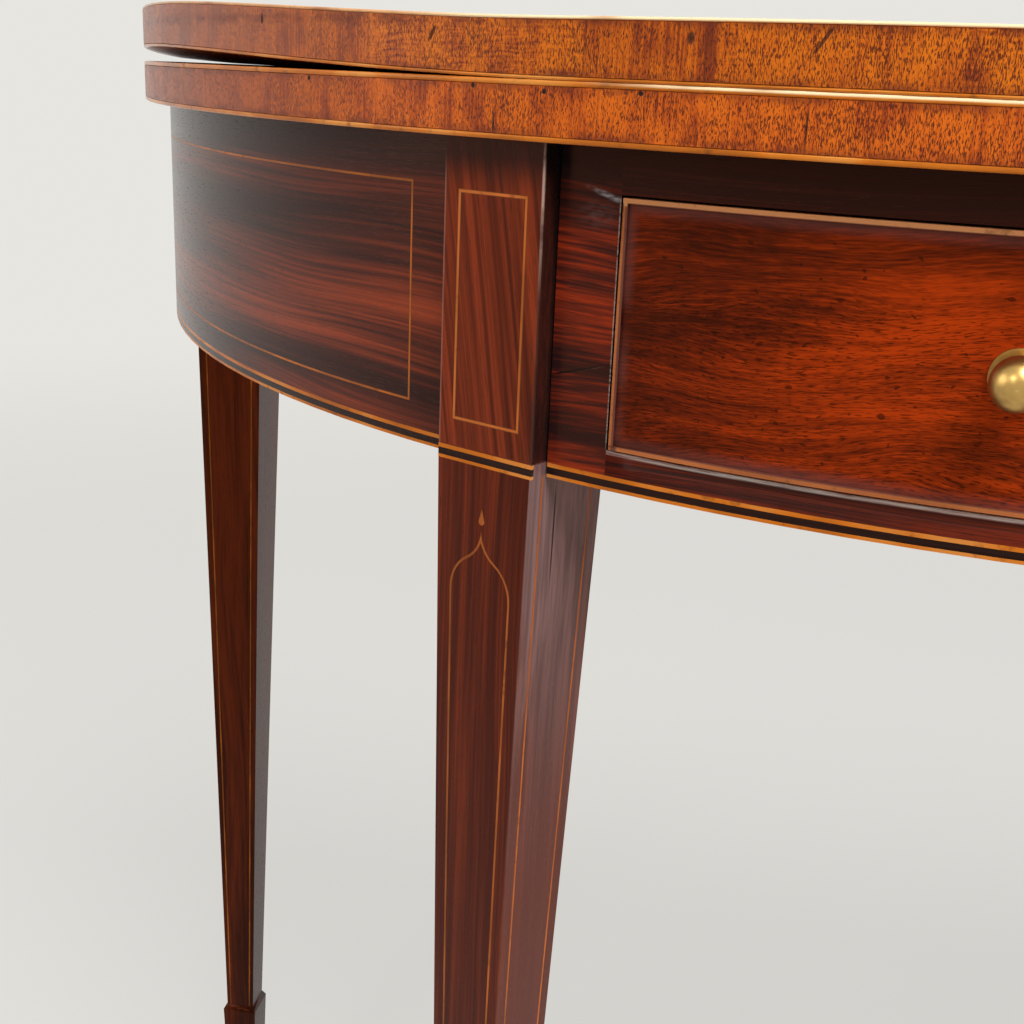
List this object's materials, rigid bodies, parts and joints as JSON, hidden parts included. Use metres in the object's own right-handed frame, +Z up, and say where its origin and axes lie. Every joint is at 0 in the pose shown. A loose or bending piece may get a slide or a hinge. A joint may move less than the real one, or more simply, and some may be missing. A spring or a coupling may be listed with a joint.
{
  "type": "demilune table",
  "caption": "Half-moon fold-over table with a bow-front drawer, inlaid frieze, tapered spade-foot legs and knuckle-jointed gates that carry the opened leaf.",
  "frame": {"origin": "on the floor, under the middle of the closed table's plan", "axes": "+X along the straight back edge to the table's left as it faces the room, -Y towards the bow front, +Z up"},
  "size_m": [0.9902, 0.433, 0.7437],
  "materials": {
    "top_mahogany": "french polished, warm red-brown",
    "crossband_mahogany": "polished crossbanding, orange-brown with dark pores",
    "boxwood": "stained boxwood stringing, polished",
    "ebony": "ebony or black-stained line, polished",
    "frieze_mahogany": "dark polished figured veneer",
    "leg_mahogany": "dark polished straight-grained wood",
    "drawer_mahogany": "polished figured red-brown veneer",
    "cockbead_mahogany": "worn polished bead",
    "pine": "bare aged softwood",
    "beech": "bare aged hardwood",
    "oak": "bare aged oak",
    "brass": "aged lacquered brass",
    "steel": "dark iron pins"
  },
  "bodies": {
    "frame": {"lower_leaf": "top_mahogany", "lower_leaf_edge_band": "crossband_mahogany", "lower_leaf_edge_lines": "boxwood", "base_band_boxwood": "boxwood", "left_panel_line": "boxwood", "right_panel_line": "boxwood", "left_front_leg_lines": "boxwood", "right_front_leg_lines": "boxwood", "base_band_ebony": "ebony", "left_frieze_veneer": "frieze_mahogany", "right_frieze_veneer": "frieze_mahogany", "drawer_top_rail": "frieze_mahogany", "drawer_bottom_rail": "frieze_mahogany", "left_drawer_stile": "frieze_mahogany", "right_drawer_stile": "frieze_mahogany", "left_front_leg": "leg_mahogany", "right_front_leg": "leg_mahogany", "left_frieze_rail": "pine", "right_frieze_rail": "pine", "back_rail": "pine", "glue_blocks": "pine", "gate_hinge_rail": "beech", "left_drawer_runner": "oak", "right_drawer_runner": "oak", "left_drawer_kicker": "oak", "right_drawer_kicker": "oak", "left_drawer_guide": "oak", "right_drawer_guide": "oak", "drawer_stops": "oak", "leaf_hinge_lower_flaps": "brass", "leaf_hinge_pins": "brass", "gate_pins": "steel"},
    "folding_leaf": {"upper_leaf": "top_mahogany", "upper_leaf_edge_band": "crossband_mahogany", "upper_leaf_edge_lines": "boxwood", "leaf_hinge_upper_flaps": "brass"},
    "drawer": {"drawer_front": "drawer_mahogany", "drawer_cockbeads": "cockbead_mahogany", "left_drawer_side": "oak", "right_drawer_side": "oak", "drawer_back": "oak", "drawer_bottom": "oak", "drawer_knobs": "brass", "drawer_knob_nuts": "brass"},
    "left_gate": {"left_fly_rail": "beech", "left_rear_leg": "leg_mahogany", "left_rear_leg_lines": "boxwood"},
    "right_gate": {"right_fly_rail": "beech", "right_rear_leg": "leg_mahogany", "right_rear_leg_lines": "boxwood"}
  },
  "joints": [
    {"name": "leaf_fold", "type": "hinge", "parent": "frame", "child": "folding_leaf", "pos_m": [0, 0.2135, 0.7195], "axis": [-1, 0, 0], "range_deg": [0, 180]},
    {"name": "drawer_slide", "type": "slide", "parent": "frame", "child": "drawer", "axis": [0, -1, 0], "range_m": [0, 0.2]},
    {"name": "left_gate_swing", "type": "hinge", "parent": "frame", "child": "left_gate", "pos_m": [-0.125, 0.1785, 0.65], "axis": [0, 0, -1], "range_deg": [0, 90]},
    {"name": "right_gate_swing", "type": "hinge", "parent": "frame", "child": "right_gate", "pos_m": [0.125, 0.1785, 0.65], "axis": [0, 0, 1], "range_deg": [0, 90]}
  ]
}
